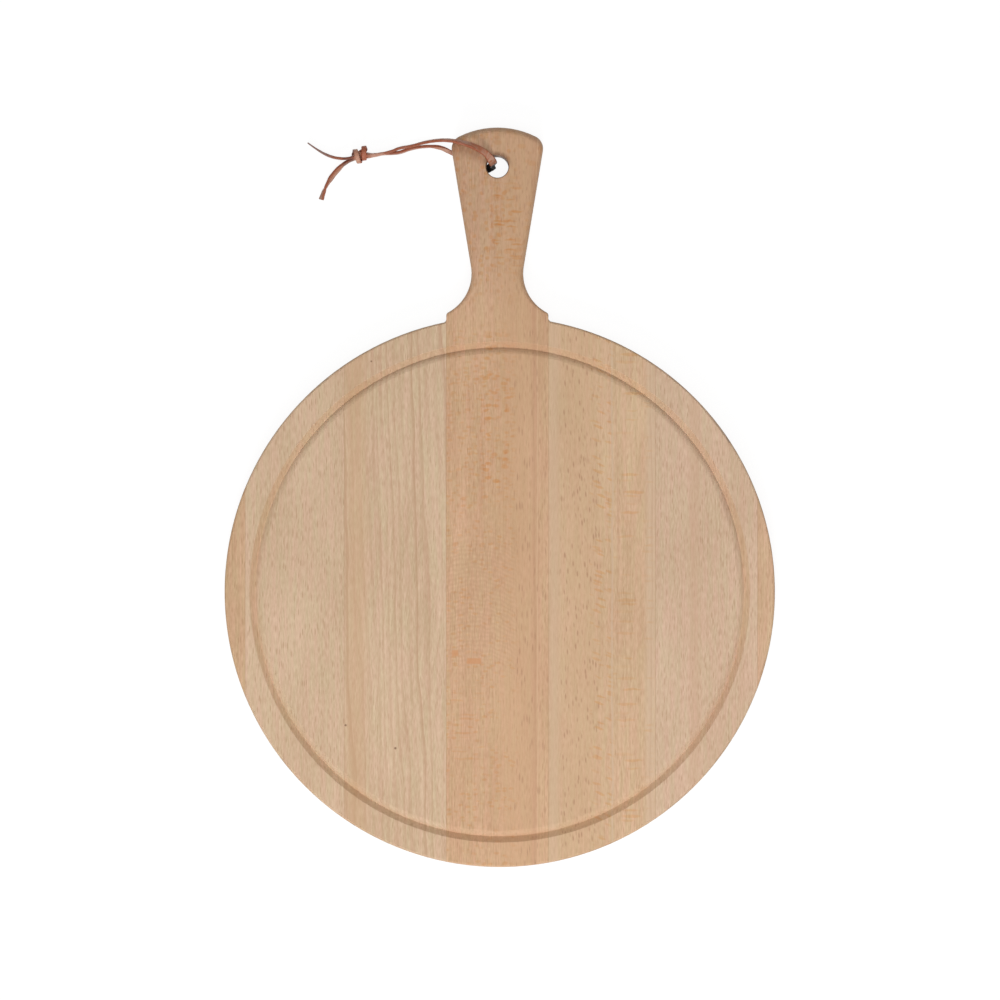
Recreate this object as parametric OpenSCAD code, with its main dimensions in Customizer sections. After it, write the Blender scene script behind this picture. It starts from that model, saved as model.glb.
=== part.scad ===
// Round serving board of edge-glued beech with a handle, a juice groove and a leather lace.
// Millimetres. The origin is the middle of the plate's underside, +Y points to the handle,
// +Z is up. The plate is as wide as its seven glued pieces together.

/* [Wood pieces, from the left rim to the right] */
// Width of the sliver at the left rim
left_edge_w = 13; // [9:0.5:30]
// Width of the outer left stave
left_outer_w = 62; // [40:0.5:90]
// Width of the inner left stave
left_inner_w = 64; // [40:0.5:90]
// Width of the centre plank, which runs on into the handle
plank_w = 64; // [50:0.5:80]
// Width of the inner right stave
right_inner_w = 67; // [40:0.5:90]
// Width of the outer right stave
right_outer_w = 64; // [40:0.5:90]
// Width of the sliver at the right rim
right_edge_w = 11; // [9:0.5:30]

/* [Plate] */
// Thickness of the wood
board_t = 18; // [14:0.5:28]
// Radius of the rounded rim, above and below
rim_r = 1.5; // [0.6:0.1:3]
// Radius of the small fillets where the rim meets the handle's shoulders
root_r = 3; // [2:0.1:5]

/* [Juice groove] */
// Width of the groove at the face
groove_w = 7.6; // [4:0.1:10]
// Depth of the groove
groove_depth = 1.9; // [1.2:0.1:3.2]
// Distance from the rim to the middle of the groove
groove_inset = 19.3; // [15:0.1:40]
// How far inside the groove's inner edge its round inner wall would be level with the face
groove_lead = 0.6; // [0.2:0.1:1.5]

/* [Handle] */
// Length of the handle beyond the plate
handle_l = 118.9; // [90:0.1:170]
// Width across its wide end
handle_end_w = 57.4; // [46:0.1:66]
// Width across the neck
neck_w = 32.5; // [24:0.1:40]
// Distance from the plate to the narrowest place of the neck
neck_l = 27.3; // [24:0.1:40]
// Radius of the hollows between the neck and the shoulders
neck_r = 28; // [22:0.5:34]
// Radius of the shoulders' corners
shoulder_r = 2; // [1.6:0.1:4]
// Radius of the bowed end
crown_r = 54; // [40:1:120]
// Radius of the corners beside the bowed end
corner_r = 8.5; // [5:0.1:12]
// Radius of the handle's rounded edges
handle_edge_r = 4.5; // [2:0.1:5.5]
// Room under the handle for the lace and the fingers
handle_relief = 3; // [2.5:0.1:4]

/* [Hanging hole] */
// Diameter of the hole
hole_d = 14; // [12:0.1:20]
// Distance from the end of the handle to the middle of the hole
hole_inset = 24.8; // [20:0.1:32]
// Radius of the hole's eased edges
hole_ease_r = 0.8; // [0.4:0.1:1.5]

/* [Lace] */
// Width of the leather lace
lace_w = 4; // [3:0.1:4.4]
// Thickness of the lace
lace_t = 1.6; // [1:0.1:1.8]
// Width of the chamfers along the lace
lace_chamfer = 0.4; // [0.2:0.05:0.45]
// Length of the knot
knot_l = 10; // [8:0.1:13]
// Height of the knot
knot_d = 8.8; // [8:0.1:9]
// Radius of the rounded ends of the knot's core
knot_ease_r = 1.5; // [1:0.1:1.6]
// Thickness of the two bands that wrap the knot
knot_band_t = 1.8; // [1.2:0.1:2.2]
// Distance of each band from the middle of the knot
knot_band_x = 2.3; // [1.8:0.1:3]
// Angle that both bands share with a square turn round the knot
knot_turn = 10; // [0:1:20]
// Angle by which the bands lean apart
knot_lean = 6; // [0:1:15]

/* [Hidden] */
$fn = 180;

// Overrun of every cut
over = 1;
up = [0, 0, 1];

// Glue lines, from the left rim to the right one
wood_w = [
    left_edge_w, left_outer_w, left_inner_w, plank_w,
    right_inner_w, right_outer_w, right_edge_w
];
function sum_to(list, n) = n == 0 ? 0 : list[n - 1] + sum_to(list, n - 1);
plate_r = sum_to(wood_w, len(wood_w)) / 2;
function line_x(i) = sum_to(wood_w, i) - plate_r;
// The centre plank is the middle one of the pieces
plank_i = (len(wood_w) - 1) / 2;
plank_x = (line_x(plank_i) + line_x(plank_i + 1)) / 2;

// The groove is deepest at its middle. Its outer wall is straight, and its inner wall is
// rounded over on a circle whose middle lies this far under the face.
groove_ring_r = plate_r - groove_inset;
groove_round_z =
    (pow(groove_w / 2, 2) + groove_w * groove_lead + pow(groove_depth, 2)) / (2 * groove_depth);

// The round hollow beside a shoulder cuts this much into the rim and the shoulder
root_bite = 0.15;
// How far the handle's solid reaches into the plate
handle_bury = 8;

// Colours of the wood and the leather
sliver_colour = "#d3a47d";
plain_colour = "#ceae93";
straight_colour = "#ccac8c";
plank_colour = "#cba482";
leather_colour = "#ae6f4c";

// Outline of the handle's right half. A row holds a point, its outward direction
// and two shares: how round the edge is there, and how far the underside is raised.
shoulder_half_w = plank_w / 2;
neck_c = [neck_w / 2 + neck_r, plate_r + neck_l];
shoulder_reach = neck_r + shoulder_r;
shoulder_dx = neck_c.x - (shoulder_half_w - shoulder_r);
shoulder_c = [
    shoulder_half_w - shoulder_r,
    neck_c.y - sqrt(pow(shoulder_reach, 2) - pow(shoulder_dx, 2))
];
shoulder_a = atan2(neck_c.y - shoulder_c.y, shoulder_dx);
handle_end_y = plate_r + handle_l;
crown_c = [0, handle_end_y - crown_r];
corner_c = [
    handle_end_w / 2 - corner_r,
    crown_c.y + sqrt(pow(crown_r - corner_r, 2) - pow(handle_end_w / 2 - corner_r, 2))
];
corner_a = atan2(corner_c.y - crown_c.y, corner_c.x);
// The tapered side is the line between the hollow and the corner that touches both
to_corner = corner_c - neck_c;
taper_a = atan2(to_corner.y, -to_corner.x) - acos((neck_r + corner_r) / norm(to_corner));

function smooth(s) = s * s * (3 - 2 * s);
function arc_rows(c, r, a0, a1, n, side, from, e0, e1, z0, z1) = [
    for (i = [from : n])
        let (s = i / n, a = a0 + (a1 - a0) * s, d = [cos(a), sin(a)])
        [c + r * d, side * d, e0 + (e1 - e0) * smooth(s), z0 + (z1 - z0) * smooth(s)]
];
root_y = max(root_centre(1).y, root_centre(-1).y);
start_e = rim_r / handle_edge_r;
half_rows = concat(
    [[[shoulder_half_w, root_y - handle_bury], [1, 0], 0, 0]],
    [[[shoulder_half_w, root_y], [1, 0], 0, 0]],
    arc_rows(shoulder_c, shoulder_r, 0, shoulder_a, 4, 1, 0, start_e, start_e, 0, 0),
    arc_rows(neck_c, neck_r, 180 + shoulder_a, 180 - taper_a, 16, -1, 1, start_e, 1, 0, 1),
    arc_rows(corner_c, corner_r, -taper_a, corner_a, 9, 1, 0, 1, 1, 1, 1),
    arc_rows(crown_c, crown_r, corner_a, 90, 6, 1, 1, 1, 1, 1, 1)
);
half_n = len(half_rows);
// All the way round: up the right side, over the end and down the left side
rows = concat(
    half_rows,
    [for (i = [half_n - 2 : -1 : 0])
        let (q = half_rows[i])
        [[-q[0].x, q[0].y], [-q[1].x, q[1].y], q[2], q[3]]]
);
edge_steps = 6;
edge_depth = [
    for (k = [0 : edge_steps])
        handle_edge_r * (1 - sin(90 * k / edge_steps))
];

// Inset of an edge of radius r at a depth below its face
function inset(r, depth) = depth < r ? r - sqrt(r * r - pow(r - depth, 2)) : 0;
function row_point(q, depth, z) =
    let (p = q[0] - q[1] * inset(q[2] * handle_edge_r, depth)) [p.x, p.y, z];
function top_ring(k) = [for (q = rows) row_point(q, edge_depth[k], board_t - edge_depth[k])];
function low_ring(k) = [
    for (q = rows)
        row_point(q, edge_depth[k], q[3] * handle_relief + edge_depth[k])
];

// The lace's routes through the hole, over and under the handle to the knot, and its two
// tails. A point is [x, y, z, lean]: lean turns the flat lace up on its edge.
hole_heading = 130;
lace_mid = [-4, 268.7, 9, 0];
front_route = [
    lace_mid,
    [-4.2, 269, 14, 0],
    [-5.5, 270.9, 18.4, 0],
    [-8.3, 274.1, 20.9, 10],
    [-12.3, 276.8, 22.4, 25],
    [-18, 279.4, 22.8, 42],
    [-24, 281.2, 22.4, 58],
    [-30, 282.4, 21.8, 68],
    [-36, 282.8, 21, 72],
    [-42, 282.6, 18, 75],
    [-48.5, 281.8, 13.2, 76],
    [-55.5, 280.4, 8, 78],
    [-63.4, 279, 6.8, 80],
    [-67.7, 277.4, 6.5, 84],
    [-73.7, 275.8, 6.4, 86],
    [-79, 275.1, 6.5, 80],
    [-84, 275, 6.7, 60]
];
back_route = [
    lace_mid,
    [-4.4, 268.2, 4.6, 0],
    [-6, 267.3, 2.3, 0],
    [-8, 266.4, 1.2, 0],
    [-11.5, 266.8, 1, 0],
    [-15, 269, 1, 0],
    [-18.5, 271.2, 1, 0],
    [-24, 273.8, 1, 0],
    [-31, 277, 1.2, -15],
    [-37, 279.6, 2, -55],
    [-43, 280.5, 2.2, -88],
    [-49.5, 280.2, 2.2, -88],
    [-56, 279, 2.2, -86],
    [-63.4, 276.7, 2.2, -84],
    [-67.8, 276.2, 2.2, -86],
    [-73.8, 275.9, 2.2, -86],
    [-79, 275, 2.2, -80],
    [-84, 274.6, 2.4, -60]
];
upper_route = [
    [-91.2, 273.9, 6.9, 70],
    [-95.5, 272.8, 6.3, 84],
    [-100, 272.8, 4.6, 88],
    [-105.5, 273.9, 2.9, 88],
    [-111, 276.2, 2.2, 88],
    [-116.5, 279.6, 2.2, 88],
    [-121, 282.8, 2.2, 88]
];
lower_route = [
    [-91.2, 273, 2.6, -70],
    [-95, 271.4, 2.4, -75],
    [-98.5, 269.3, 2.2, -68],
    [-102, 266, 2.1, -60],
    [-106, 261.2, 2, -58],
    [-109.2, 255.8, 2.2, -85],
    [-111.2, 251.2, 2.1, -115],
    [-112.6, 247, 2, -125]
];
knot_c = [-87.6, 274.9, 4.6];
knot_heading = 7;

function unit(v) = v / norm(v);
function place(p) = [p.x, p.y, p.z];
function along(route, i) = place(route[min(i + 1, len(route) - 1)]) - place(route[max(i - 1, 0)]);
// A strand that starts in the hole starts upright
function travel(route, i) =
    i == 0 && route[0] == lace_mid ? [0, 0, sign(route[1].z - lace_mid.z)] : unit(along(route, i));
function level(t) =
    abs(t.z) == 1 ? [-sin(hole_heading), cos(hole_heading), 0] : unit(cross(up, t));
lace_section = let (a = lace_w / 2, b = lace_t / 2, c = lace_chamfer) [
    [a, c - b], [a, b - c], [a - c, b], [c - a, b],
    [-a, b - c], [-a, c - b], [c - a, -b], [a - c, -b]
];
function lace_ring(route, i) =
    let (
        t = travel(route, i),
        h = level(t),
        v = cross(t, h),
        lean = route[i][3],
        wide = h * cos(lean) + v * sin(lean),
        thick = cross(t, wide)
    )
    [for (q = lace_section) place(route[i]) + q.x * wide + q.y * thick];

// Joins rings of equal count into a closed skin
function skin_faces(ring_n, n) = [
    for (k = [0 : ring_n - 2], i = [0 : n - 1])
        let (a = k * n + i, b = k * n + (i + 1) % n)
        each [[a, a + n, b + n], [a, b + n, b]]
];
function cap(first, n) = [[for (i = [0 : n - 1]) first + i]];
function cap_back(first, n) = [[for (i = [n - 1 : -1 : 0]) first + i]];

module plate() {
    rotate_extrude() {
        square([plate_r - rim_r, board_t]);
        translate([0, rim_r]) square([plate_r, board_t - 2 * rim_r]);
        translate([plate_r - rim_r, rim_r]) circle(rim_r);
        translate([plate_r - rim_r, board_t - rim_r]) circle(rim_r);
    }
}

module groove_cut() {
    edge_x = groove_w / 2;
    level_x = -edge_x - groove_lead;
    over_x = edge_x * (groove_depth + over) / groove_depth;
    translate([0, 0, board_t])
        rotate_extrude() translate([groove_ring_r, 0]) difference() {
            polygon([[level_x, over], [over_x, over], [0, -groove_depth], [level_x, -groove_depth]]);
            translate([level_x, -groove_round_z]) circle(norm([groove_lead, groove_round_z]));
        }
}

// The part of the plate between two glue lines
module plate_strip(i) {
    intersection() {
        plate();
        translate([line_x(i), -plate_r - over, -over])
            cube([wood_w[i], 2 * (plate_r + over), board_t + 2 * over]);
    }
}

module stave(i) {
    difference() {
        plate_strip(i);
        groove_cut();
    }
}

// Middle of the round hollow between the rim and a shoulder, from the plate's middle
function root_centre(side) =
    let (x = plank_x + side * (shoulder_half_w + root_r - root_bite))
    [x, sqrt(pow(plate_r + root_r - root_bite, 2) - x * x)];

module root_fillet(side) {
    c = root_centre(side);
    shoulder_x = plank_x + side * shoulder_half_w;
    touch_x = c.x * plate_r / norm(c);
    difference() {
        translate([min(shoulder_x, touch_x), c.y - 2 * root_r, 0])
            cube([abs(touch_x - shoulder_x), 2 * root_r, board_t]);
        translate([c.x, c.y, 0]) rotate_extrude() {
            translate([0, -over]) square([root_r, board_t + 2 * over]);
            difference() {
                translate([0, -over]) square([root_r + rim_r, board_t + 2 * over]);
                translate([0, rim_r]) square([root_r + 2 * rim_r, board_t - 2 * rim_r]);
                translate([root_r + rim_r, rim_r]) circle(rim_r);
                translate([root_r + rim_r, board_t - rim_r]) circle(rim_r);
            }
        }
    }
}

module stave_by_shoulder(i, side) {
    difference() {
        union() {
            plate_strip(i);
            root_fillet(side);
        }
        groove_cut();
    }
}

// A face that closes a ring of rows is a ladder of flat steps from side to side
function ladder(first, flip) =
    let (n = len(rows))
    [
        for (i = [0 : half_n - 2])
            let (a = i, b = i + 1, c = n - 2 - i, d = n - 1 - i)
            each b == c
                ? [turned([a, b, d], first, flip)]
                : [turned([a, b, c], first, flip), turned([a, c, d], first, flip)]
    ];
function turned(face, first, flip) =
    flip
        ? [first + face[2], first + face[1], first + face[0]]
        : [first + face[0], first + face[1], first + face[2]];

module handle() {
    n = len(rows);
    rings = concat(
        [for (k = [edge_steps : -1 : 0]) low_ring(k)],
        [for (k = [0 : edge_steps]) top_ring(k)]
    );
    points = [for (ring = rings) each ring];
    top = (len(rings) - 1) * n;
    translate([plank_x, 0, 0])
        polyhedron(
            points = points,
            faces = concat(skin_faces(len(rings), n), ladder(0, false), ladder(top, true)),
            convexity = 4
        );
}

module hole_cut() {
    hole_r = hole_d / 2;
    wide_r = hole_r + hole_ease_r;
    translate([plank_x, handle_end_y - hole_inset, 0]) {
        translate([0, 0, -over]) cylinder(r = hole_r, h = board_t + 2 * over);
        rotate_extrude() difference() {
            translate([0, -over]) square([wide_r, board_t + 2 * over]);
            translate([hole_r - over, handle_relief + hole_ease_r])
                square([2 * over + hole_ease_r, board_t - handle_relief - 2 * hole_ease_r]);
            translate([wide_r, handle_relief + hole_ease_r]) circle(hole_ease_r);
            translate([wide_r, board_t - hole_ease_r]) circle(hole_ease_r);
        }
    }
}

module stave_left_edge() {
    color(sliver_colour) stave(0);
}

module stave_left_outer() {
    color(plain_colour) stave(1);
}

module stave_left_inner() {
    color(straight_colour) stave_by_shoulder(2, -1);
}

module centre_plank() {
    color(plank_colour) difference() {
        union() {
            plate_strip(plank_i);
            handle();
        }
        groove_cut();
        hole_cut();
    }
}

module stave_right_inner() {
    color(straight_colour) stave_by_shoulder(4, 1);
}

module stave_right_outer() {
    color(plain_colour) stave(5);
}

module stave_right_edge() {
    color(sliver_colour) stave(6);
}

module strand(route) {
    n = len(lace_section);
    rings = [for (i = [0 : len(route) - 1]) lace_ring(route, i)];
    color(leather_colour)
        polyhedron(
            points = [for (ring = rings) each ring],
            faces = concat(
                skin_faces(len(rings), n), cap(0, n), cap_back((len(rings) - 1) * n, n)
            ),
            convexity = 6
        );
}

module lace_front() {
    strand(front_route);
}

module lace_back() {
    strand(back_route);
}

module lace_tail_upper() {
    strand(upper_route);
}

module lace_tail_lower() {
    strand(lower_route);
}

// Two slanting bands round a core that the strands go into
module lace_knot() {
    core_r = knot_d / 2 - knot_band_t / 2;
    color(leather_colour) translate(knot_c) rotate([0, 0, knot_heading]) {
        rotate([0, 90, 0]) rotate_extrude() {
            translate([0, -knot_l / 2]) square([core_r - knot_ease_r, knot_l]);
            translate([0, knot_ease_r - knot_l / 2]) square([core_r, knot_l - 2 * knot_ease_r]);
            for (end = [-1, 1])
                translate([core_r - knot_ease_r, end * (knot_l / 2 - knot_ease_r)])
                    circle(knot_ease_r);
        }
        for (end = [-1, 1])
            translate([end * knot_band_x, 0, 0])
                rotate([0, 0, knot_turn + end * knot_lean]) rotate([0, 90, 0])
                    rotate_extrude() translate([knot_d / 2 - knot_band_t, -lace_w / 2])
                        square([knot_band_t, lace_w]);
    }
}

stave_left_edge();
stave_left_outer();
stave_left_inner();
centre_plank();
stave_right_inner();
stave_right_outer();
stave_right_edge();
lace_front();
lace_back();
lace_knot();
lace_tail_upper();
lace_tail_lower();
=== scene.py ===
"""Looks for a round beech serving board with a handle, a juice groove and a knotted leather lace.

Everything is in metres, in the frame of the CAD model: the origin is the middle of the plate's
underside, +Y points to the handle and +Z is up.
"""

import math

import bpy
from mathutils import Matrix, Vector


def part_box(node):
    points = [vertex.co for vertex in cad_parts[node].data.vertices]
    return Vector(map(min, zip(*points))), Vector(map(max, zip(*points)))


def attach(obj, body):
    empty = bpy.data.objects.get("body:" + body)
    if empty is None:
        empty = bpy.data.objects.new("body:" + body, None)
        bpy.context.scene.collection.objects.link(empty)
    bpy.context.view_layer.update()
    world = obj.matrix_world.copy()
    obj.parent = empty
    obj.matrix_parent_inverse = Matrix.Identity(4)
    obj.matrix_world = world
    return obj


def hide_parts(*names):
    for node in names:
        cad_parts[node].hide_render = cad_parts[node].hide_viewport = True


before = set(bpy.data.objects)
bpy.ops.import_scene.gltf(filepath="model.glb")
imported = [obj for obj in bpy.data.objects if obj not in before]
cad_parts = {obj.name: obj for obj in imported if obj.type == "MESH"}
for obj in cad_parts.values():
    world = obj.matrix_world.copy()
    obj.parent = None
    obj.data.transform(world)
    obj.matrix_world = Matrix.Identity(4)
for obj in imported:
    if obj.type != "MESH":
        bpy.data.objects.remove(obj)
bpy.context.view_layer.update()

MM = 0.001
UP = Vector((0, 0, 1))

# Sizes of the wood, as in the CAD model
plank_low, plank_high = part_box("centre_plank")
board_t = plank_high.z
handle_relief = 3 * MM
hole_inset = 24.8 * MM
hole_x = (plank_low.x + plank_high.x) / 2
hole_y = plank_high.y - hole_inset

# Sizes of the lace. It is built in short steps.
lace_w = 4 * MM
lace_t = 1.6 * MM
lace_corner_r = 0.5 * MM
lace_step = 0.4 * MM
# Direction across the lace's thickness in the hole, in degrees
hole_heading = 130
# Soft leather is a little fuller than a plain strip, and cups across its width
soft_fullness = 1.08
cup_share = 0.1
# The lace spreads where it bends sharply, this near the middle of the hole
bend_share = 1.3
bend_reach = 7 * MM
# It is narrower where it comes out from under the handle and where the lower tail leaves the
# knot. Each stretch lies between two values of x.
narrow_share = 0.7
back_narrow = (-41 * MM, -26 * MM)
lower_narrow = (-100 * MM, -90 * MM)
# The upper tail is pared thinner towards its end
thin_end_share = 0.45
thin_end_reach = 16 * MM

# The knot. Its heading is the turn of its length from -X, in degrees.
knot_c = Vector((-0.0876, 0.2749, 0.0046))
knot_heading = 7
# Each strand takes one turn round the knot, this far from its middle and from its axis
knot_band_x = 2.3 * MM
knot_wrap_r = 3.7 * MM
# Angle below the knot's side where a turn starts, and how far round it goes, in degrees
wrap_start = -50
wrap_turn = 280
wrap_steps = 14
# The lace is squeezed narrower in the knot
knot_band_share = 0.78
# How far each turn lies to the side of the knot's axis, and how steeply it winds
front_turn_shift = 0.9 * MM
front_turn_slope = -0.275 * MM
back_turn_shift = -0.5 * MM
back_turn_slope = 0.55 * MM
# The lace inside the knot, before and after its turn: millimetres along, sideways and up
front_into_turn = [(-1.2, 0.2, 1), (0.9, 0.5, 0.2), (1.3, 1.1, -1.3)]
front_out_of_turn = [(-3.4, -0.6, -2), (-1.6, -1, -1.2), (1, -1.4, -1)]
back_into_turn = [(0, 0, -1.3), (3, 0, -1.2), (4.2, 0.9, -2.2)]
back_out_of_turn = [(0.7, -0.4, -1.7), (1.9, 0, -0.2)]

# The routes of the lace in the CAD model. A point is (x, y, z, lean): lean turns the flat
# lace up on its edge, in degrees.
lace_mid = (-0.004, 0.2687, 0.009, 0)
front_route = [
    lace_mid,
    (-0.0042, 0.269, 0.014, 0),
    (-0.0055, 0.2709, 0.0184, 0),
    (-0.0083, 0.2741, 0.0209, 10),
    (-0.0123, 0.2768, 0.0224, 25),
    (-0.018, 0.2794, 0.0228, 42),
    (-0.024, 0.2812, 0.0224, 58),
    (-0.03, 0.2824, 0.0218, 68),
    (-0.036, 0.2828, 0.021, 72),
    (-0.042, 0.2826, 0.018, 75),
    (-0.0485, 0.2818, 0.0132, 76),
    (-0.0555, 0.2804, 0.008, 78),
    (-0.0634, 0.279, 0.0068, 80),
    (-0.0677, 0.2774, 0.0065, 84),
    (-0.0737, 0.2758, 0.0064, 86),
    (-0.079, 0.2751, 0.0065, 80),
    (-0.084, 0.275, 0.0067, 60),
]
back_route = [
    lace_mid,
    (-0.0044, 0.2682, 0.0046, 0),
    (-0.006, 0.2673, 0.0023, 0),
    (-0.008, 0.2664, 0.0012, 0),
    (-0.0115, 0.2668, 0.001, 0),
    (-0.015, 0.269, 0.001, 0),
    (-0.0185, 0.2712, 0.001, 0),
    (-0.024, 0.2738, 0.001, 0),
    (-0.031, 0.277, 0.0012, -15),
    (-0.037, 0.2796, 0.002, -55),
    (-0.043, 0.2805, 0.0022, -88),
    (-0.0495, 0.2802, 0.0022, -88),
    (-0.056, 0.279, 0.0022, -86),
    (-0.0634, 0.2767, 0.0022, -84),
    (-0.0678, 0.2762, 0.0022, -86),
    (-0.0738, 0.2759, 0.0022, -86),
    (-0.079, 0.275, 0.0022, -80),
    (-0.084, 0.2746, 0.0024, -60),
]
upper_route = [
    (-0.0912, 0.2739, 0.0069, 70),
    (-0.0955, 0.2728, 0.0063, 84),
    (-0.1, 0.2728, 0.0046, 88),
    (-0.1055, 0.2739, 0.0029, 88),
    (-0.111, 0.2762, 0.0022, 88),
    (-0.1165, 0.2796, 0.0022, 88),
    (-0.121, 0.2828, 0.0022, 88),
]
lower_route = [
    (-0.0912, 0.273, 0.0026, -70),
    (-0.095, 0.2714, 0.0024, -75),
    (-0.0985, 0.2693, 0.0022, -68),
    (-0.102, 0.266, 0.0021, -60),
    (-0.106, 0.2612, 0.002, -58),
    (-0.1092, 0.2558, 0.0022, -85),
    (-0.1112, 0.2512, 0.0021, -115),
    (-0.1126, 0.247, 0.002, -125),
]


def link(obj):
    """Puts a new object into the scene."""
    bpy.context.scene.collection.objects.link(obj)
    return obj


def mesh_object(name, points, faces):
    """A new object from points and faces."""
    mesh = bpy.data.meshes.new(name)
    mesh.from_pydata(points, [], faces)
    mesh.validate()
    return link(bpy.data.objects.new(name, mesh))


def srgb(red, green, blue):
    """A colour given as it looks on the screen, from 0 to 255, as linear RGBA."""
    shares = [c / 255 for c in (red, green, blue)]
    return (*[s / 12.92 if s <= 0.04045 else ((s + 0.055) / 1.055) ** 2.4 for s in shares], 1)


# Camera, straight above the board as in the photograph
view_x = 0.15 * MM
view_y = 57.6 * MM
view_height = 2.4
view_width = 626.5 * MM
sensor_w = 36

camera_data = bpy.data.cameras.new("camera")
camera_data.sensor_width = sensor_w
camera_data.lens = sensor_w * (view_height - board_t) / view_width
camera = link(bpy.data.objects.new("camera", camera_data))
camera.location = (view_x, view_y, view_height)
bpy.context.scene.camera = camera


# The lace
def travel_of(route, i):
    """The direction of the lace at a point of a free route. It starts upright in the hole."""
    if i == 0 and route[0] == lace_mid:
        return UP * math.copysign(1, route[1][2] - lace_mid[2])
    before = Vector(route[max(i - 1, 0)][:3])
    after = Vector(route[min(i + 1, len(route) - 1)][:3])
    return (after - before).normalized()


def thick_of(route, i):
    """The direction across the lace's thickness at a point of a free route."""
    travel = travel_of(route, i)
    upright = abs(travel.z) > 0.999
    if upright:
        heading = math.radians(hole_heading)
        level = Vector((-math.sin(heading), math.cos(heading), 0))
    else:
        level = UP.cross(travel).normalized()
    lean = math.radians(route[i][3])
    wide = level * math.cos(lean) + travel.cross(level) * math.sin(lean)
    return travel.cross(wide)


def free_stations(route, narrow=(0, 0)):
    """Stations along a free route: a place, the direction across the lace's thickness and a
    share of its width. narrow is the stretch where the lace is narrower."""
    stations = []
    for i, point in enumerate(route):
        place = Vector(point[:3])
        off = Vector((place.x - hole_x, place.y - hole_y)).length
        share = 1
        if off < bend_reach:
            share = bend_share
        elif narrow[0] < place.x < narrow[1]:
            share = narrow_share
        stations.append((place, thick_of(route, i), share))
    return stations


def knot_place(along, side, height):
    """A place in the knot: along runs from the strands to the tails, side away from the plate."""
    turn = math.radians(knot_heading)
    forward = Vector((-math.cos(turn), -math.sin(turn), 0))
    sideways = Vector((-math.sin(turn), math.cos(turn), 0))
    return knot_c + forward * along + sideways * side + UP * height


def wrap_stations(along_mid, shift, slope):
    """One turn of the lace round the knot, from below, over the top and down again."""
    stations = []
    for k in range(wrap_steps + 1):
        a = math.radians(wrap_start + wrap_turn * k / wrap_steps)
        along = along_mid + slope * (math.pi / 2 - a)
        side = shift + knot_wrap_r * math.cos(a)
        place = knot_place(along, side, knot_wrap_r * math.sin(a))
        inward = knot_place(along, shift, 0) - place
        stations.append((place, inward.normalized(), knot_band_share))
    return stations


def inner_stations(points):
    """Stations at places inside the knot, with the lace flat."""
    return [(knot_place(a * MM, s * MM, h * MM), UP, knot_band_share) for a, s, h in points]


front_stations = (
    free_stations(front_route)
    + inner_stations(front_into_turn)
    + wrap_stations(-knot_band_x, front_turn_shift, front_turn_slope)
    + inner_stations(front_out_of_turn)
    + free_stations(lower_route, lower_narrow)
)
back_stations = (
    free_stations(back_route, back_narrow)
    + inner_stations(back_into_turn)
    + wrap_stations(knot_band_x, back_turn_shift, back_turn_slope)
    + inner_stations(back_out_of_turn)
    + free_stations(upper_route)
)


def smooth_point(a, b, c, d, s):
    """A point between b and c on the smooth curve through a, b, c and d."""
    knots = [0.0]
    for p, q in ((a, b), (b, c), (c, d)):
        knots.append(knots[-1] + max((q - p).length, 1e-6) ** 0.5)
    t0, t1, t2, t3 = knots
    t = t1 + (t2 - t1) * s
    p1 = a.lerp(b, (t - t0) / (t1 - t0))
    p2 = b.lerp(c, (t - t1) / (t2 - t1))
    p3 = c.lerp(d, (t - t2) / (t3 - t2))
    q1 = p1.lerp(p2, (t - t0) / (t2 - t0))
    q2 = p2.lerp(p3, (t - t1) / (t3 - t1))
    return q1.lerp(q2, (t - t1) / (t2 - t1))


def fine_stations(stations):
    """The stations again, a short step apart on one smooth curve."""
    places = [s[0] for s in stations]
    ends = [2 * places[0] - places[1]] + places + [2 * places[-1] - places[-2]]
    fine = []
    for i in range(len(places) - 1):
        steps = max(2, math.ceil((places[i + 1] - places[i]).length / lace_step))
        for k in range(steps):
            s = k / steps
            eased = s * s * (3 - 2 * s)
            thick = stations[i][1].lerp(stations[i + 1][1], eased).normalized()
            share = stations[i][2] + (stations[i + 1][2] - stations[i][2]) * eased
            fine.append((smooth_point(*ends[i : i + 4], s), thick, share))
    return fine + [stations[-1]]


def lace_outline():
    """The points of the lace's cross-section, with rounded corners."""
    half_w, half_t = lace_w / 2, lace_t / 2
    corner_steps = 3
    points = []
    for side_x, side_y, start in ((1, 1, 0), (-1, 1, 90), (-1, -1, 180), (1, -1, 270)):
        for k in range(corner_steps + 1):
            a = math.radians(start + 90 * k / corner_steps)
            x = side_x * (half_w - lace_corner_r) + lace_corner_r * math.cos(a)
            y = side_y * (half_t - lace_corner_r) + lace_corner_r * math.sin(a)
            points.append((x, y))
    return points


def lace_points(fine, outline, seed, end_share):
    """The outline at every station, with uneven edges and the far end pared to end_share of its
    thickness."""
    points = []
    for i, (place, thick, share) in enumerate(fine):
        before = fine[max(i - 1, 0)][0]
        after = fine[min(i + 1, len(fine) - 1)][0]
        travel = (after - before).normalized()
        wide = thick.cross(travel).normalized()
        across = travel.cross(wide)
        s = i * lace_step / MM
        swell = 1 + 0.02 * math.sin(0.9 * s + seed) + 0.015 * math.sin(2.3 * s + 2 * seed)
        swell *= share
        fullness = soft_fullness + 0.03 * math.sin(1.3 * s + 3 * seed)
        to_end = (len(fine) - 1 - i) * lace_step / thin_end_reach
        fullness *= end_share + (1 - end_share) * min(1, to_end)
        for x, y in outline:
            cup = cup_share * lace_t * (1 - (2 * x / lace_w) ** 2)
            points.append(place + wide * x * swell + across * (y * fullness - cup))
    return points


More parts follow.
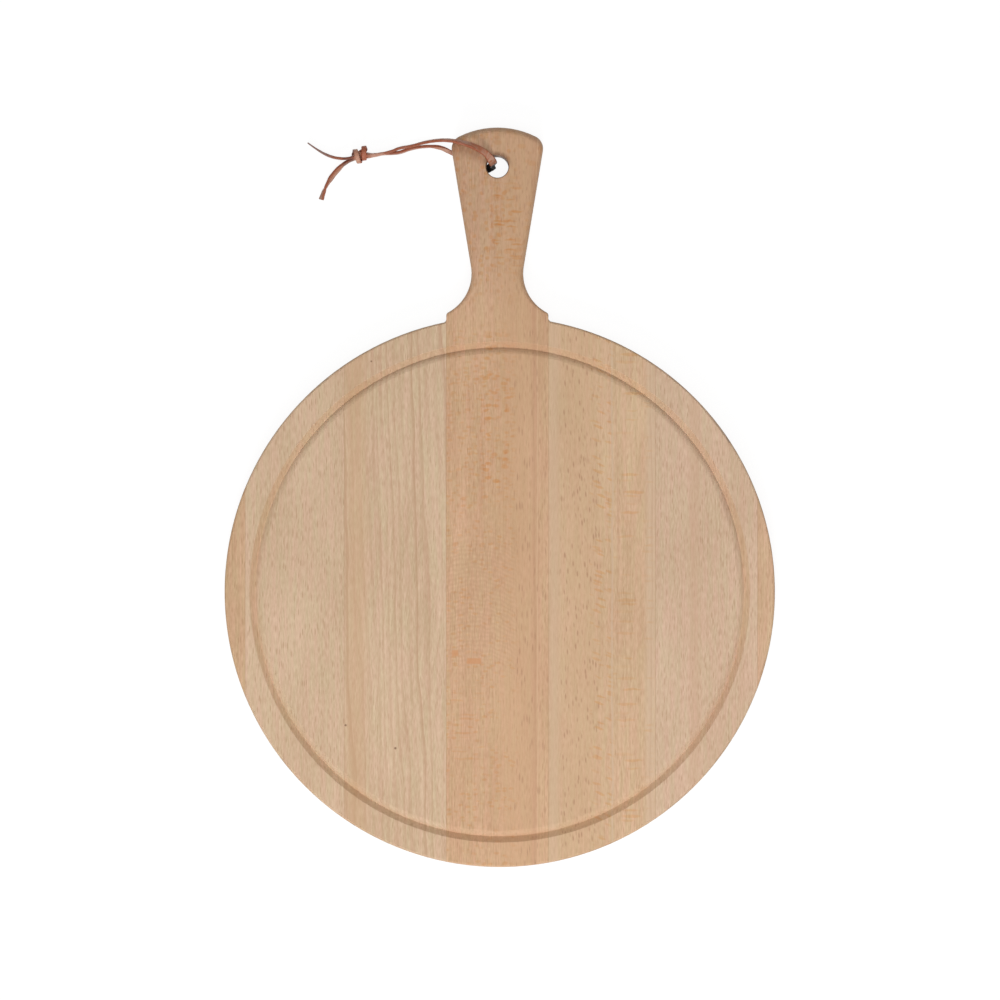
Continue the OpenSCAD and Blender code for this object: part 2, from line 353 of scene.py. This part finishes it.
def tube_faces(rings, n):
    """The faces of a tube of rings with n points each, closed at both ends."""
    faces = []
    for k in range(rings - 1):
        for i in range(n):
            j = (i + 1) % n
            faces.append((k * n + i, k * n + j, (k + 1) * n + j, (k + 1) * n + i))
    faces.append(tuple(reversed(range(n))))
    faces.append(tuple((rings - 1) * n + i for i in range(n)))
    return faces


def lace_piece(name, stations, seed, end_share):
    """A strip of leather along the stations, and the line that it follows. Its cut edges are
    marked for the material."""
    fine = fine_stations(stations)
    outline = lace_outline()
    points = lace_points(fine, outline, seed, end_share)
    obj = mesh_object(name, points, tube_faces(len(fine), len(outline)))
    obj.data.shade_smooth()
    obj.data.set_sharp_from_angle(angle=math.radians(50))
    cut_edge = obj.data.attributes.new("cut_edge", "FLOAT", "POINT")
    edge_x = lace_w / 2 - 0.6 * lace_corner_r
    for i in range(len(points)):
        cut_edge.data[i].value = float(abs(outline[i % len(outline)][0]) > edge_x)
    return obj, [place for place, thick, share in fine]


lace_front, front_line = lace_piece("leather_lace_front", front_stations, 1.0, 1)
lace_back, back_line = lace_piece("leather_lace_back", back_stations, 2.0, thin_end_share)

for obj, line, length, nodes, exit_z in (
    (lace_front, front_line, 0.173, ("lace_front", "lace_knot", "lace_tail_lower"), board_t),
    (lace_back, back_line, 0.159, ("lace_back", "lace_tail_upper"), handle_relief),
):
    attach(obj, "lace")
    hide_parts(*nodes)


# Materials. Lengths in them are in millimetres.
class Shades:
    """Builds the nodes of one material. A value is a socket or a plain number."""

    def __init__(self, name):
        self.material = bpy.data.materials.new(name)
        self.material.use_nodes = True
        self.nodes = self.material.node_tree.nodes
        self.links = self.material.node_tree.links
        self.principled = self.nodes["Principled BSDF"]
        coordinates = self.nodes.new("ShaderNodeTexCoord")
        per_mm = self.nodes.new("ShaderNodeVectorMath")
        per_mm.operation = "SCALE"
        per_mm.inputs["Scale"].default_value = 1 / MM
        self.join(coordinates.outputs["Object"], per_mm.inputs[0])
        self.x, self.y, self.z = self.parts(per_mm.outputs[0])
        self.normal = self.parts(coordinates.outputs["Normal"])

    def join(self, value, socket):
        """Links a socket or sets a plain number."""
        if isinstance(value, bpy.types.NodeSocket):
            self.links.new(value, socket)
        else:
            socket.default_value = value

    def add(self, kind, inputs, **settings):
        """A new node with its inputs and settings."""
        node = self.nodes.new("ShaderNode" + kind)
        for name, value in settings.items():
            setattr(node, name, value)
        for socket, value in inputs.items():
            self.join(value, node.inputs[socket])
        return node

    def math(self, operation, a, b=0.0):
        """One step of arithmetic."""
        return self.add("Math", {0: a, 1: b}, operation=operation).outputs[0]

    def plus(self, *values):
        """The sum of the values."""
        total = values[0]
        for value in values[1:]:
            total = self.math("ADD", total, value)
        return total

    def times(self, *values):
        """The product of the values."""
        total = values[0]
        for value in values[1:]:
            total = self.math("MULTIPLY", total, value)
        return total

    def parts(self, vector):
        """The x, y and z of a vector."""
        return self.add("SeparateXYZ", {0: vector}).outputs[:]

    def vector(self, x, y, z):
        """A vector from x, y and z."""
        return self.add("CombineXYZ", {0: x, 1: y, 2: z}).outputs[0]

    def noise(self, x, y, z, detail=2.0):
        """Soft noise from 0 to 1, around a half."""
        place = self.vector(x, y, z)
        return self.add("TexNoise", {"Vector": place, "Scale": 1.0, "Detail": detail}).outputs[0]

    def clouds(self, per_x, per_y, z, detail=2.0):
        """Soft noise with this many clouds a millimetre along x and y. z chooses the pattern."""
        return self.noise(self.times(self.x, per_x), self.times(self.y, per_y), z, detail)

    def grains(self, x, y, z):
        """Scattered points: the distance to the nearest one and a random number of its own."""
        place = self.vector(x, y, z)
        cells = self.add("TexVoronoi", {"Vector": place, "Scale": 1.0})
        return cells.outputs["Distance"], self.parts(cells.outputs["Color"])[0]

    def rise(self, value, low, high):
        """0 at low, 1 at high and smooth between them. High may be under low."""
        limits = {"Value": value, "From Min": low, "From Max": high}
        return self.add("MapRange", limits, interpolation_type="SMOOTHSTEP").outputs[0]

    def band(self, value, low, high, soft):
        """1 between low and high, with soft ends."""
        up = self.rise(value, low - soft, low + soft)
        down = self.rise(value, high + soft, high - soft)
        return self.times(up, down)

    def from_hole(self):
        """The distance from the hole's axis, and its part along y."""
        off_x = self.plus(self.x, -hole_x / MM)
        off_y = self.plus(self.y, -hole_y / MM)
        squares = self.plus(self.times(off_x, off_x), self.times(off_y, off_y))
        return self.math("SQRT", squares), off_y

    def mix(self, share, a, b):
        """A colour between a and b."""
        return self.add("Mix", {0: share, 6: a, 7: b}, data_type="RGBA").outputs[2]

    def paint(self, share, colour):
        """Lays a colour over the material's colour."""
        self.colour = self.mix(share, self.colour, colour)

    def tone(self, share, colour):
        """Multiplies the material's colour by another one, by a share."""
        inputs = {0: share, 6: self.colour, 7: colour}
        mixed = self.add("Mix", inputs, data_type="RGBA", blend_type="MULTIPLY")
        self.colour = mixed.outputs[2]

    def finish(self, roughness, specular, bump_share):
        """Joins the colour and the relief to the shader."""
        self.principled.inputs["Roughness"].default_value = roughness
        self.principled.inputs["Specular IOR Level"].default_value = specular
        relief = self.times(self.height, MM)
        bump = self.add("Bump", {"Height": relief, "Strength": bump_share, "Distance": 1.0})
        self.join(bump.outputs["Normal"], self.principled.inputs["Normal"])
        self.join(self.colour, self.principled.inputs["Base Color"])


def tint(colour, red, green, blue):
    """A colour with each part multiplied by a share."""
    return (colour[0] * red, colour[1] * green, colour[2] * blue, 1)


# The glue lines between the pieces of wood, in millimetres along x, and half of a line's width
glue_lines = [-159.5, -97.5, -33.5, 30.5, 97.5, 161.5]
glue_half_w = 0.3

# The groove's outer wall lies between these distances from the plate's middle and above this
# height, in millimetres
groove_wall_low_r = 153.4
groove_wall_high_r = 156.8
under_groove_z = 14

# The hole's wall lies nearer to its axis than this, in millimetres
hole_wall_r = 7.2

# Colours of the marks in the wood. The first three are tones, which multiply its colour. The
# groove's and the handle's tones are painted shade, and so are the last three colours.
fleck_tone = (0.95, 0.75, 0.5, 1)
groove_wall_shade_tone = (0.92, 0.86, 0.8, 1)
handle_shade_tone = (0.905, 0.89, 0.91, 1)
dash_colour = srgb(168, 120, 92)
line_colour = srgb(188, 146, 114)
spot_colour = srgb(120, 85, 60)
block_colour = srgb(210, 150, 104)
joint_colour = srgb(170, 128, 95)
end_grain_colour = srgb(180, 148, 122)
hole_wall_shade_colour = srgb(96, 60, 40)
strand_shadow_colour = srgb(150, 106, 76)
hole_shadow_colour = srgb(108, 72, 48)

# The bow of the front strand over the handle, as a parabola: its highest point and its bend
bow_x = -36
bow_y = 282.8
bow_bend = -0.0113
# The strand's painted shadow. It fades out this far under the strand, and this far over it.
shadow_under = 11
shadow_over = 5
shadow_low_x = -36
shadow_high_x = -10


class Beech(Shades):
    """Bare beech that grew along Y, with fine lines, pores and a soft uneven tone. tilt is how
    far its year rings lean from upright, in degrees."""

    def __init__(self, name, colour, seed, tilt, line_share, pore_share):
        super().__init__(name)
        self.seed = seed
        slope = math.radians(tilt)
        # The place across the year rings, which wave a little
        ring = self.plus(
            self.times(self.x, math.cos(slope)),
            self.times(self.z, math.sin(slope)),
            self.times(self.clouds(0.03, 0.005, seed, detail=1.0), 9.0),
        )
        fine = self.noise(self.times(ring, 1.3), self.times(self.y, 0.02), seed + 3.1, 3.0)
        broad = self.noise(self.times(ring, 0.16), self.times(self.y, 0.004), seed + 5.7)
        lines = self.plus(self.times(fine, line_share), self.times(broad, line_share * 0.5))
        cloud = self.clouds(0.03, 0.012, seed + 8.3, detail=1.0)
        speck = self.clouds(1.1, 0.2, self.z)
        value = self.plus(lines, self.times(cloud, 0.4), self.times(speck, 0.8))
        # The value's mean, as noise is a half on average, and how far it swings to dark and light
        middle = 0.75 * line_share + 0.6
        reach = 0.55
        # Dark and light wood are each a little warmer in some places than in others
        hue = self.rise(self.clouds(0.3, 0.03, seed + 11.9), 0.3, 0.7)
        dark = self.mix(hue, tint(colour, 0.82, 0.73, 0.67), tint(colour, 0.78, 0.75, 0.66))
        light = self.mix(hue, tint(colour, 1.24, 1.24, 1.34), tint(colour, 1.17, 1.28, 1.28))
        self.colour = self.mix(self.rise(value, middle - reach, middle + reach), dark, light)
        self.height = self.times(fine, 0.03)
        self.add_pores(pore_share, tint(colour, 0.7, 0.58, 0.5))

    def add_pores(self, share, colour):
        """Tiny dark pores along the grain."""
        distance, chance = self.grains(
            self.times(self.x, 0.85),
            self.times(self.y, 0.14),
            self.plus(self.times(self.z, 0.85), self.seed),
        )
        pore = self.times(self.rise(distance, 0.42, 0.15), self.rise(chance, 0.1, 0.9))
        self.paint(self.times(pore, share), colour)
        self.height = self.plus(self.height, self.times(pore, -0.035))

    def clusters(self):
        """1 where marks lie close together and 0 between, with soft edges."""
        return self.rise(self.clouds(0.06, 0.05, self.seed), 0.35, 0.55)

    def add_flecks(self, zone, width, height, share, rare, slant=0.0):
        """Ray flecks: marks that lie across the grain. A higher rare leaves more of them out."""
        drift = self.times(self.clouds(0.2, 0.1, 4.2), 2.0)
        across = self.plus(self.y, self.times(self.x, slant), drift)
        distance, chance = self.grains(
            self.times(self.x, 1 / width),
            self.times(across, 1 / height),
            self.plus(self.times(self.z, 1 / width), self.seed * 3.7),
        )
        mark = self.rise(distance, 0.48, 0.26)
        mark = self.times(mark, zone, self.rise(chance, rare, rare + 0.4), share)
        self.tone(mark, fleck_tone)

    def add_dashes(self, zone, width, length, share, slant=0.0):
        """Short dark dashes along the grain."""
        across = self.plus(self.x, self.times(self.y, slant))
        distance, chance = self.grains(
            self.times(across, 1 / width),
            self.times(self.y, 1 / length),
            self.plus(self.times(self.z, 1 / width), self.seed * 2.3),
        )
        mark = self.times(self.rise(distance, 0.4, 0.12), self.rise(chance, 0.2, 0.7))
        self.paint(self.times(mark, zone, share), dash_colour)

    def add_growth_lines(self, zone, period, slant, share):
        """Each year's wood grows darker up to a sharp edge, and some years more than others."""
        wander = self.clouds(0.06, 0.006, self.seed + 2.7)
        years = self.plus(
            self.times(self.x, 1 / period),
            self.times(self.y, slant / period),
            self.times(self.z, 0.3 / period),
            self.times(wander, 3.0),
        )
        late = self.rise(self.math("FRACT", years), 0.4, 0.98)
        year = self.times(self.math("FLOOR", years), 7.3)
        strength = self.rise(self.noise(year, self.seed, 0.5), 0.3, 0.7)
        self.paint(self.times(late, strength, zone, share), line_colour)

    def add_ripples(self, zone, middle_x, share):
        """Faint arches one above the other, highest at middle_x."""
        off = self.plus(self.x, -middle_x)
        drop = self.times(off, off, 0.012)
        wander = self.times(self.clouds(0.15, 0.12, 2.2), 5.0)
        wave = self.math("SINE", self.times(self.plus(self.y, drop, wander), 2.2))
        self.paint(self.times(self.rise(wave, -1, 1), zone, share), line_colour)

    def add_streak(self, x, half_w, colour, share):
        """A band of another colour along the grain, with an uneven edge."""
        wander = self.times(self.noise(self.times(self.y, 0.02), x, 0.5), 3.0)
        place = self.plus(self.x, wander, -1.5)
        zone = self.band(place, x - half_w, x + half_w, half_w * 0.8)
        self.paint(self.times(zone, share), colour)

    def add_spot(self, x, y, radius):
        """A tiny dark speck at a place on the face."""
        off_x = self.math("POWER", self.plus(self.x, -x), 2.0)
        off_y = self.math("POWER", self.plus(self.y, -y), 2.0)
        distance = self.math("SQRT", self.plus(off_x, off_y))
        self.paint(self.times(self.rise(distance, radius, radius * 0.3), 0.85), spot_colour)

    def add_block(self, x, y, half_w, half_h):
        """A larger ray fleck at a place on the face, like a small block."""
        wide = self.band(self.x, x - half_w, x + half_w, 0.5)
        high = self.band(self.y, y - half_h, y + half_h, 0.5)
        self.paint(self.times(wide, high, 0.8), block_colour)

    def add_painted_lace_shadow(self):
        """Painted shadow of the lace: the wood is darker under the front strand and round the
        hole's upper side, unevenly.
        """
        uneven = self.rise(self.clouds(0.7, 0.15, 6.1, detail=3.0), 0.15, 0.6)
        off = self.plus(self.x, -bow_x)
        below = self.plus(self.times(off, off, bow_bend), bow_y, self.times(self.y, -1))
        beside = self.times(self.rise(below, shadow_under, 3), self.rise(below, -shadow_over, 5))
        along = self.band(self.x, shadow_low_x, shadow_high_x, soft=6)
        beside = self.times(beside, along, uneven)
        # Painted shadow under the front strand
        self.paint(self.times(beside, 0.8), strand_shadow_colour)
        off, off_y = self.from_hole()
        # Painted shadow round the hole's upper side
        hole_shadow = self.times(self.rise(off, 10.5, 7), self.rise(off_y, -2, 6), uneven)
        self.paint(self.times(hole_shadow, 0.85), hole_shadow_colour)

    def add_painted_hole_wall_shade(self):
        """Painted shade: the hole's wall is painted dark brown."""
        off, off_y = self.from_hole()
        wall = self.rise(off, hole_wall_r + 0.5, hole_wall_r)
        self.paint(self.times(wall, 0.8), hole_wall_shade_colour)

    def add_painted_groove_wall_shade(self):
        """Painted shade: the outer wall of the groove is toned a little darker."""
        squares = self.plus(self.times(self.x, self.x), self.times(self.y, self.y))
        from_middle = self.math("SQRT", squares)
        wall = self.band(from_middle, groove_wall_low_r, groove_wall_high_r, soft=0.4)
        on_top = self.rise(self.z, under_groove_z, under_groove_z + 1.5)
        self.tone(self.times(wall, on_top), groove_wall_shade_tone)

    def dress(self, node):
        """Adds what all the wood shares, and puts the material on a CAD node."""
        # Painted shade on the groove's outer wall
        self.add_painted_groove_wall_shade()
        for line in glue_lines:
            off = self.math("ABSOLUTE", self.plus(self.x, -line))
            self.paint(self.times(self.rise(off, glue_half_w, 0.05), 0.4), joint_colour)
        # Faces across the grain show darker, speckled end grain
        end_on = self.math("POWER", self.math("ABSOLUTE", self.normal[1]), 2.0)
        deep = self.times(self.z, 2.5)
        ends = self.noise(self.times(self.x, 2.5), self.times(self.y, 0.4), deep)
        ends = self.times(end_on, self.plus(self.times(ends, 0.5), 0.35))
        self.paint(ends, end_grain_colour)
        self.finish(roughness=0.55, specular=0.3, bump_share=0.6)
        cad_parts[node].material_slots[0].material = self.material


def dress_left_edge():
    """The warm sliver at the left rim."""
    colour = srgb(205, 168, 132)
    wood = Beech("beech_left_edge", colour, seed=1.0, tilt=20, line_share=0.9, pore_share=0.5)
    wood.dress("stave_left_edge")


def dress_left_outer():
    """The plain stave beside it."""
    colour = srgb(212.5, 181.5, 150.5)
    wood = Beech("beech_left_outer", colour, seed=2.0, tilt=8, line_share=0.35, pore_share=0.6)
    wood.dress("stave_left_outer")


def dress_left_inner():
    """The stave with fine straight lines, a streak and three specks."""
    colour = srgb(213, 182.5, 151)
    wood = Beech("beech_left_inner", colour, seed=3.0, tilt=75, line_share=0.6, pore_share=0.4)
    left_part = wood.rise(wood.x, -60, -80)
    wood.add_growth_lines(zone=1.0, period=4.8, slant=0.03, share=0.6)
    wood.add_growth_lines(left_part, period=2.6, slant=0.02, share=0.35)
    wood.add_streak(-90, 6, srgb(208, 168, 128), share=0.4)
    wood.add_spot(-96.6, -83.5, radius=1.0)
    wood.add_spot(-65.4, -97.9, radius=1.1)
    wood.add_spot(-80.5, 144.5, radius=0.8)
    wood.dress("stave_left_inner")


def add_plank_flecks(wood, left_part, upper_part):
    """The middle plank's flecks on the plate: small ones, more in the upper left and a darker
    column.
    """
    on_plate = wood.rise(wood.y, 175, 150)
    small = wood.times(left_part, wood.clusters(), on_plate)
    wood.add_flecks(small, width=4.5, height=2.2, share=0.5, rare=0.2)
    upper_left = wood.times(left_part, upper_part)
    wood.add_flecks(upper_left, width=5.0, height=2.4, share=0.4, rare=0.3)
    column = wood.times(upper_part, wood.band(wood.x, -12, 6, 2))
    wood.add_flecks(column, width=6.5, height=3.4, share=0.8, rare=0.2)


def add_handle_flecks(wood, left_part, on_handle):
    """The flecks on the handle, with long ones on its face."""
    handle_face = wood.band(wood.y, 205, 255, 12)
    small = wood.times(on_handle, left_part)
    wood.add_flecks(small, width=3.6, height=3.4, share=0.65, rare=0.2)
    clustered = wood.times(on_handle, wood.clusters())
    wood.add_flecks(clustered, width=7.0, height=4.5, share=0.4, rare=0.1)
    long_ones = wood.times(handle_face, wood.band(wood.x, -4, 14, 2))
    wood.add_flecks(long_ones, width=12.0, height=1.9, share=0.9, rare=0.2)


def dress_plank():
    """The middle plank with the handle, full of flecks on its left part. The handle, the hole's
    wall and the wood round the lace get painted shade.
    """
    colour = srgb(212, 172, 136)
    wood = Beech("beech_plank", colour, seed=4.0, tilt=15, line_share=0.6, pore_share=0.5)
    left_part = wood.rise(wood.x, 14, 6)
    right_part = wood.band(wood.x, 8, 31, 2)
    upper_part = wood.band(wood.y, 55, 160, 15)
    ripple_part = wood.times(left_part, wood.plus(wood.band(wood.y, -45, 35, 15), 0.35))
    low_rows = wood.times(wood.band(wood.x, -32, -10, 2), wood.band(wood.y, -106, -62, 6))
    on_handle = wood.rise(wood.y, 165, 215)
    # Painted shade: the handle is toned darker, where the light falls off.
    wood.tone(on_handle, handle_shade_tone)
    wood.add_streak(12, 12, srgb(209, 167, 127), share=0.5)
    wood.add_streak(22, 2.0, srgb(198, 148, 116), share=0.35)
    wood.add_streak(23.6, 0.35, srgb(226, 190, 152), share=0.5)
    wood.add_ripples(ripple_part, middle_x=-16.6, share=0.17)
    add_plank_flecks(wood, left_part, upper_part)
    add_handle_flecks(wood, left_part, on_handle)
    wood.add_flecks(low_rows, width=18.0, height=2.0, share=0.5, rare=0.2)
    wood.add_block(-16.1, -43.3, half_w=4.4, half_h=1.8)
    wood.add_block(-28, -38.3, half_w=1.9, half_h=1.9)
    wood.add_dashes(right_part, width=1.6, length=9.0, share=0.5)
    wood.add_dashes(on_handle, width=1.3, length=4.5, share=0.4)
    wood.add_growth_lines(wood.rise(wood.x, 4, 14), period=2.4, slant=0.0, share=0.3)
    # Painted shadow of the lace on the handle
    wood.add_painted_lace_shadow()
    # Painted shade on the hole's wall
    wood.add_painted_hole_wall_shade()
    wood.dress("centre_plank")


def dress_right_inner():
    """The stave with short dark dashes and rows of flecks."""
    colour = srgb(213.5, 178, 143)
    wood = Beech("beech_right_inner", colour, seed=5.0, tilt=60, line_share=0.5, pore_share=0.4)
    dash_part = wood.band(wood.x, 38, 63, 2)
    short_part = wood.band(wood.x, 57, 71, 2)
    long_part = wood.band(wood.x, 71, 95, 3)
    line_part = wood.rise(wood.x, 66, 74)
    wood.add_streak(50, 12, srgb(210, 172, 133), share=0.4)
    wood.add_streak(95, 3, srgb(217, 189, 160), share=0.6)
    wood.add_dashes(dash_part, width=1.7, length=6.5, share=0.6, slant=0.06)
    wood.add_flecks(short_part, width=8.0, height=2.4, share=0.6, rare=0.3, slant=0.35)
    wood.add_flecks(long_part, width=17.0, height=2.8, share=0.55, rare=0.4)
    wood.add_growth_lines(line_part, period=3.2, slant=0.0, share=0.3)
    wood.add_streak(34, 3.0, srgb(213, 182, 150), share=0.5)
    wood.add_streak(70.5, 0.6, srgb(214, 186, 156), share=0.6)
    wood.dress("stave_right_inner")


def dress_right_outer():
    """The plain stave beside it, with two faint streaks."""
    colour = srgb(215.5, 183.5, 154.5)
    wood = Beech("beech_right_outer", colour, seed=6.0, tilt=10, line_share=0.35, pore_share=0.6)
    wood.add_streak(122, 3.0, srgb(207, 166, 136), share=0.4)
    wood.add_streak(152, 1.6, srgb(196, 156, 122), share=0.2)
    wood.dress("stave_right_outer")


def dress_right_edge():
    """The warm sliver at the right rim."""
    colour = srgb(212, 174, 140)
    wood = Beech("beech_right_edge", colour, seed=7.0, tilt=25, line_share=0.9, pore_share=0.5)
    wood.dress("stave_right_edge")


dress_left_edge()
dress_left_outer()
dress_left_inner()
dress_plank()
dress_right_inner()
dress_right_outer()
dress_right_edge()

# Colours of the leather
pale_leather = srgb(190, 148, 126)
tan_leather = srgb(174, 103, 70)
pebble_colour = srgb(150, 92, 66)
cut_edge_colour = srgb(148, 72, 40)
worn_end_colour = srgb(128, 108, 102)
lace_hole_shade_colour = srgb(12, 8, 7)


class Leather(Shades):
    """Waxed tan leather with darker cut edges."""

    def __init__(self, name):
        super().__init__(name)
        patches = self.clouds(0.16, 0.16, self.z, detail=3.0)
        pebbles, chance = self.grains(
            self.times(self.x, 2.2), self.times(self.y, 2.2), self.times(self.z, 2.2)
        )
        cut = self.add("Attribute", {}, attribute_name="cut_edge").outputs["Fac"]
        self.colour = self.mix(self.rise(patches, 0.38, 0.62), pale_leather, tan_leather)
        self.paint(self.times(self.rise(pebbles, 0.2, 0.7), 0.2), pebble_colour)
        self.paint(self.times(cut, 0.8), cut_edge_colour)
        self.height = self.times(pebbles, -0.06)

    def add_painted_lighting_stretch(self, low, high, soft, share, colour):
        """Painted light and shade: another colour on the stretch of the lace between two values
        of x.
        """
        self.paint(self.times(self.band(self.x, low, high, soft), share), colour)

    def add_worn_end_and_hole_shade(self):
        """The upper tail's end is worn grey, and the lace in the hole is painted near black as
        painted shade.
        """
        upper_end = self.times(self.rise(self.x, -100, -112), self.rise(self.y, 270, 274))
        self.paint(self.times(upper_end, 0.7), worn_end_colour)
        # Painted shade: the lace goes near black deep in the hole
        off, off_y = self.from_hole()
        in_hole = self.times(self.rise(off, 9.5, 8), self.rise(self.z, 14.5, 11))
        self.paint(in_hole, lace_hole_shade_colour)


def dress_lace():
    """The lace, with painted light on pale stretches and painted shade on dark stretches beside
    the knot and in it.
    """
    skin = Leather("leather")
    # Painted highlight: the strand before the knot, lighter as if its face lay flat in the light
    skin.add_painted_lighting_stretch(-81.5, -73, soft=1.5, share=0.6, colour=srgb(206, 160, 138))
    # Painted shade in the knot's middle
    skin.add_painted_lighting_stretch(-87.6, -83.4, soft=0.5, share=0.75, colour=srgb(160, 74, 38))
    # Painted highlight on the knot's turn
    skin.add_painted_lighting_stretch(-91.5, -88.2, soft=0.4, share=0.5, colour=srgb(212, 166, 142))
    # Painted shade where the strand twists
    skin.add_painted_lighting_stretch(-70, -62, soft=3, share=0.5, colour=srgb(140, 68, 34))
    # Painted shade on the tails beside the knot
    skin.add_painted_lighting_stretch(-99, -92, soft=1, share=0.65, colour=srgb(84, 34, 18))
    skin.add_worn_end_and_hole_shade()
    skin.finish(roughness=0.5, specular=0.4, bump_share=0.8)
    for obj in (lace_front, lace_back):
        obj.data.materials.append(skin.material)


dress_lace()


# Lights
light_aim = Vector((0, 0.05, 0))


def area_light(name, place, size, power):
    """A square soft light at a place, turned to the middle of the board."""
    data = bpy.data.lights.new(name, "AREA")
    data.shape = "SQUARE"
    data.size = size
    data.energy = power
    obj = link(bpy.data.objects.new(name, data))
    obj.location = place
    obj.rotation_euler = (light_aim - obj.location).to_track_quat("-Z", "Y").to_euler()


area_light("key", (-0.2, -1.6, 1.25), size=0.8, power=21.6)
area_light("overhead", (0, -0.1, 2.2), size=1.6, power=20.6)


# World and floor. Both are brighter where they are seen than as a light on the board.
def seen_share(nodes, links, share):
    """A socket that is share for what the camera sees, itself, in gloss or through glass."""
    path = nodes.new("ShaderNodeLightPath")
    total = path.outputs["Is Camera Ray"]
    for name in ("Is Glossy Ray", "Is Transmission Ray"):
        add = nodes.new("ShaderNodeMath")
        add.operation = "ADD"
        add.use_clamp = True
        links.new(total, add.inputs[0])
        links.new(path.outputs[name], add.inputs[1])
        total = add.outputs[0]
    scale = nodes.new("ShaderNodeMath")
    scale.operation = "MULTIPLY"
    scale.inputs[1].default_value = share
    links.new(total, scale.inputs[0])
    return scale.outputs[0]


def make_world(strength):
    """A white world that lights the board softly and is seen as white."""
    world = bpy.data.worlds.new("world")
    bpy.context.scene.world = world
    world.use_nodes = True
    nodes = world.node_tree.nodes
    links = world.node_tree.links
    sky = nodes["Background"]
    sky.inputs["Color"].default_value = (1, 1, 1, 1)
    brighten = nodes.new("ShaderNodeMath")
    brighten.operation = "ADD"
    brighten.inputs[1].default_value = strength
    links.new(seen_share(nodes, links, 1 - strength), brighten.inputs[0])
    links.new(brighten.outputs[0], sky.inputs["Strength"])


def paper_material(glow_strength, glow_share):
    """White paper that keeps the board's shadow and glows for what the camera sees."""
    paper = bpy.data.materials.new("paper")
    paper.use_nodes = True
    nodes = paper.node_tree.nodes
    links = paper.node_tree.links
    matt = nodes["Principled BSDF"]
    matt.inputs["Base Color"].default_value = (0.8, 0.8, 0.8, 1)
    matt.inputs["Roughness"].default_value = 0.9
    glow = nodes.new("ShaderNodeEmission")
    glow.inputs["Strength"].default_value = glow_strength
    both = nodes.new("ShaderNodeMixShader")
    links.new(seen_share(nodes, links, glow_share), both.inputs[0])
    links.new(matt.outputs[0], both.inputs[1])
    links.new(glow.outputs[0], both.inputs[2])
    links.new(both.outputs[0], nodes["Material Output"].inputs["Surface"])
    return paper


def make_floor(half_w, z):
    """A square floor just under the board."""
    corners = [
        (-half_w, -half_w, z),
        (half_w, -half_w, z),
        (half_w, half_w, z),
        (-half_w, half_w, z),
    ]
    floor = mesh_object("floor", corners, [(0, 1, 2, 3)])
    floor.data.materials.append(paper_material(glow_strength=1.13, glow_share=0.8))


make_world(strength=0.2)
make_floor(half_w=3.0, z=-0.15 * MM)

bpy.context.scene.view_settings.view_transform = "Standard"
